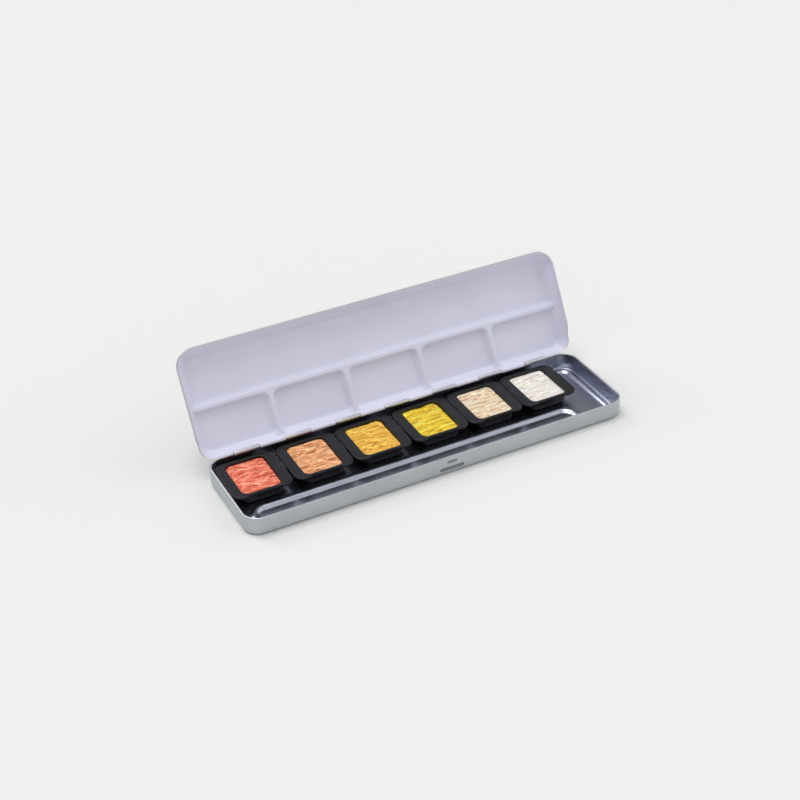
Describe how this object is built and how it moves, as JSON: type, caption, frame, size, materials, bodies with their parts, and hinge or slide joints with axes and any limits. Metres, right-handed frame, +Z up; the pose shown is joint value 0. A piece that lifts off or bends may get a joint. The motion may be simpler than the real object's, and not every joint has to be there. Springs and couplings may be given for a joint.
{
  "type": "watercolor pan set",
  "caption": "Slim hinged tin watercolor set: a pressed tray with a brush trough holds lift-out plastic pans of pearlescent paint, under a white-lined lid pressed with mixing wells.",
  "frame": {"origin": "centre of the tray's flat underside, on the surface the tin stands on", "axes": "+X along the tin's length, +Y to the hinge side, +Z up; the lid is stored open against its stop"},
  "size_m": [0.2294, 0.0903, 0.0644],
  "materials": {
    "tinplate": "bright tinplate inside, satin outside",
    "enamelled_lid": "white baked enamel inside, satin silver outside",
    "hinge_wire": "drawn steel wire",
    "pan_plastic": "satin black moulded plastic",
    "coral_paint": "dry pearlescent watercolour cake with a low sheen",
    "copper_paint": "dry pearlescent watercolour cake with a low sheen",
    "gold_paint": "dry pearlescent watercolour cake with a low sheen",
    "lemon_paint": "dry pearlescent watercolour cake with a low sheen",
    "champagne_paint": "dry pearlescent watercolour cake with a low sheen",
    "pearl_paint": "dry pearlescent watercolour cake with a low sheen"
  },
  "bodies": {
    "tray": {"base_tray": "tinplate", "hinge_pin": "hinge_wire"},
    "lid": {"lid": "enamelled_lid"},
    "pan_1": {"pan_1": "pan_plastic", "paint_coral": "coral_paint"},
    "pan_2": {"pan_2": "pan_plastic", "paint_copper": "copper_paint"},
    "pan_3": {"pan_3": "pan_plastic", "paint_gold": "gold_paint"},
    "pan_4": {"pan_4": "pan_plastic", "paint_lemon": "lemon_paint"},
    "pan_5": {"pan_5": "pan_plastic", "paint_champagne": "champagne_paint"},
    "pan_6": {"pan_6": "pan_plastic", "paint_pearl": "pearl_paint"}
  },
  "joints": [
    {"name": "lid_hinge", "type": "hinge", "parent": "tray", "child": "lid", "pos_m": [0, 0.0283, 0.011], "axis": [-1, 0, 0], "range_deg": [-119.2, 0]},
    {"name": "pan_1_lift", "type": "slide", "parent": "tray", "child": "pan_1", "axis": [0, 0, 1], "range_m": [0, 0.028]},
    {"name": "pan_2_lift", "type": "slide", "parent": "tray", "child": "pan_2", "axis": [0, 0, 1], "range_m": [0, 0.028]},
    {"name": "pan_3_lift", "type": "slide", "parent": "tray", "child": "pan_3", "axis": [0, 0, 1], "range_m": [0, 0.028]},
    {"name": "pan_4_lift", "type": "slide", "parent": "tray", "child": "pan_4", "axis": [0, 0, 1], "range_m": [0, 0.028]},
    {"name": "pan_5_lift", "type": "slide", "parent": "tray", "child": "pan_5", "axis": [0, 0, 1], "range_m": [0, 0.028]},
    {"name": "pan_6_lift", "type": "slide", "parent": "tray", "child": "pan_6", "axis": [0, 0, 1], "range_m": [0, 0.028]}
  ]
}
